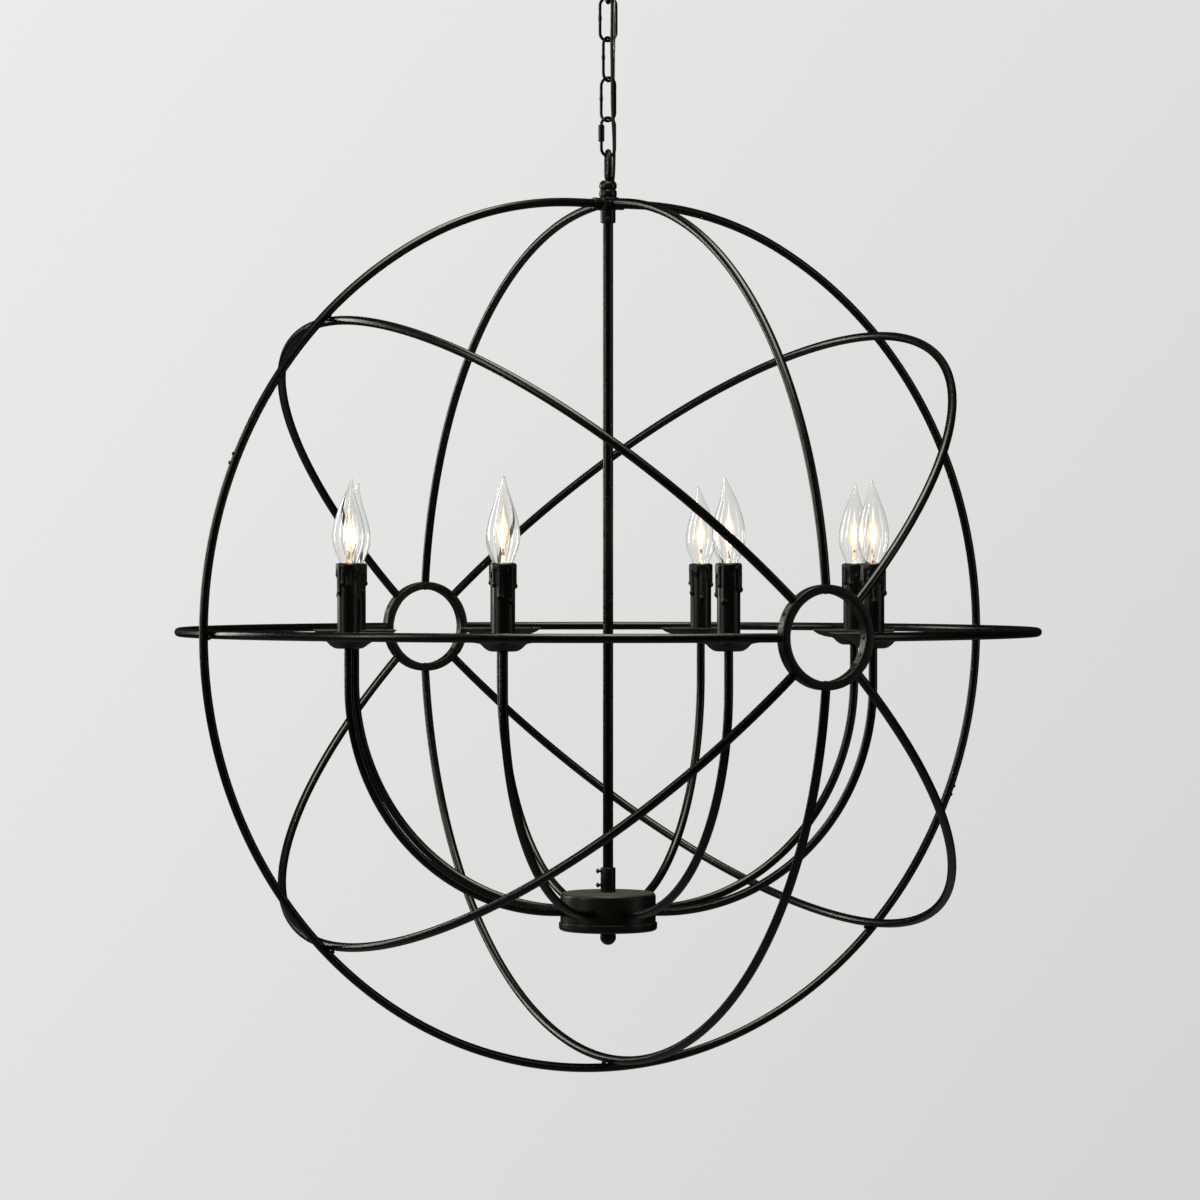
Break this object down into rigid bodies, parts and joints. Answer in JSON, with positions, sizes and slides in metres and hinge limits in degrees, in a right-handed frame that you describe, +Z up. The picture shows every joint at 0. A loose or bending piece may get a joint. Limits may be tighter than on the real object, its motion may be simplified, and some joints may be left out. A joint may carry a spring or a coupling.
{
  "type": "orb chandelier",
  "caption": "Open orb chandelier of dark round bars hung on a short chain from a domed canopy, with candle lamps on curved arms around a central stem.",
  "frame": {"origin": "centre of the mounting strap's slots, on the ceiling plane at the hanging axis", "axes": "+Z up, -Y towards the front hub ring, +X to the right seen from the front"},
  "size_m": [0.875, 0.8554, 1.1227],
  "materials": {
    "bronze_black": "satin",
    "steel_plated": "plated",
    "cord_jacket": "matte",
    "ground_copper": "bare",
    "holder_plastic": "matte",
    "candle_black": "matte",
    "bulb_glass": "clear"
  },
  "bodies": {
    "ceiling_mount": {"mounting_strap": "steel_plated", "canopy_nipple": "steel_plated", "strap_nut": "steel_plated", "canopy_loop": "bronze_black", "supply_cord": "cord_jacket", "ground_wire": "ground_copper"},
    "canopy": {"canopy": "bronze_black", "collar_ring": "bronze_black"},
    "chain_link_1": {"chain_link_1": "bronze_black"},
    "chain_link_2": {"chain_link_2": "bronze_black"},
    "chain_link_3": {"chain_link_3": "bronze_black"},
    "quick_link": {"quick_link": "bronze_black"},
    "quick_link_sleeve": {"quick_link_sleeve": "bronze_black"},
    "fixture": {"top_loop": "bronze_black", "top_hub": "bronze_black", "stem": "bronze_black", "stem_collar": "bronze_black", "hub_ring_front": "bronze_black", "hub_ring_rear": "bronze_black", "hoop_right": "bronze_black", "hoop_upper_right": "bronze_black", "hoop_upper_left": "bronze_black", "hoop_left": "bronze_black", "hoop_lower_left": "bronze_black", "hoop_bottom": "bronze_black", "hoop_lower_right": "bronze_black", "hoop_top_front": "bronze_black", "hoop_top_rear": "bronze_black", "ring_lower": "bronze_black", "ring_upper_left": "bronze_black", "ring_upper_right": "bronze_black", "body_pan": "bronze_black", "body_cover": "bronze_black", "finial": "bronze_black", "centre_tube": "steel_plated", "arm_1": "bronze_black", "arm_2": "bronze_black", "arm_3": "bronze_black", "arm_4": "bronze_black", "arm_5": "bronze_black", "arm_6": "bronze_black", "arm_7": "bronze_black", "arm_8": "bronze_black", "drip_pans": "bronze_black", "lamp_holders": "holder_plastic", "candle_sleeves": "candle_black"},
    "bulb_1": {"bulb_1": "bulb_glass"},
    "bulb_2": {"bulb_2": "bulb_glass"},
    "bulb_3": {"bulb_3": "bulb_glass"},
    "bulb_4": {"bulb_4": "bulb_glass"},
    "bulb_5": {"bulb_5": "bulb_glass"},
    "bulb_6": {"bulb_6": "bulb_glass"},
    "bulb_7": {"bulb_7": "bulb_glass"},
    "bulb_8": {"bulb_8": "bulb_glass"}
  },
  "joints": [
    {"name": "canopy_slide", "type": "slide", "parent": "ceiling_mount", "child": "canopy", "axis": [0, 0, 1], "range_m": [-0.014, 0]},
    {"name": "link_1_swing", "type": "hinge", "parent": "ceiling_mount", "child": "chain_link_1", "pos_m": [0, 0, -0.0606], "axis": [0.5417, 0.8406, 0], "range_deg": [-40, 40], "deforming": ["supply_cord", "ground_wire"]},
    {"name": "link_2_swing", "type": "hinge", "parent": "chain_link_1", "child": "chain_link_2", "pos_m": [0, 0, -0.0993], "axis": [0.7902, -0.6129, 0], "range_deg": [-40, 40], "deforming": ["supply_cord", "ground_wire"]},
    {"name": "link_3_swing", "type": "hinge", "parent": "chain_link_2", "child": "chain_link_3", "pos_m": [0, 0, -0.139], "axis": [-0.8894, -0.4571, 0], "range_deg": [-40, 40], "deforming": ["supply_cord", "ground_wire"]},
    {"name": "quick_link_swing", "type": "hinge", "parent": "chain_link_3", "child": "quick_link", "pos_m": [0, 0, -0.1787], "axis": [-0.4879, 0.8729, 0], "range_deg": [-40, 40], "deforming": ["supply_cord", "ground_wire"]},
    {"name": "quick_sleeve_slide", "type": "slide", "parent": "quick_link", "child": "quick_link_sleeve", "axis": [0, 0, 1], "range_m": [-0.0062, 0]},
    {"name": "fixture_swing", "type": "hinge", "parent": "quick_link", "child": "fixture", "pos_m": [0, 0, -0.2135], "axis": [1, 0.0035, 0], "range_deg": [-40, 40], "deforming": ["supply_cord", "ground_wire"]},
    {"name": "bulb_1_lift", "type": "slide", "parent": "fixture", "child": "bulb_1", "axis": [0, 0, 1], "range_m": [0, 0.03]},
    {"name": "bulb_2_lift", "type": "slide", "parent": "fixture", "child": "bulb_2", "axis": [0, 0, 1], "range_m": [0, 0.03]},
    {"name": "bulb_3_lift", "type": "slide", "parent": "fixture", "child": "bulb_3", "axis": [0, 0, 1], "range_m": [0, 0.03]},
    {"name": "bulb_4_lift", "type": "slide", "parent": "fixture", "child": "bulb_4", "axis": [0, 0, 1], "range_m": [0, 0.03]},
    {"name": "bulb_5_lift", "type": "slide", "parent": "fixture", "child": "bulb_5", "axis": [0, 0, 1], "range_m": [0, 0.03]},
    {"name": "bulb_6_lift", "type": "slide", "parent": "fixture", "child": "bulb_6", "axis": [0, 0, 1], "range_m": [0, 0.03]},
    {"name": "bulb_7_lift", "type": "slide", "parent": "fixture", "child": "bulb_7", "axis": [0, 0, 1], "range_m": [0, 0.03]},
    {"name": "bulb_8_lift", "type": "slide", "parent": "fixture", "child": "bulb_8", "axis": [0, 0, 1], "range_m": [0, 0.03]}
  ]
}
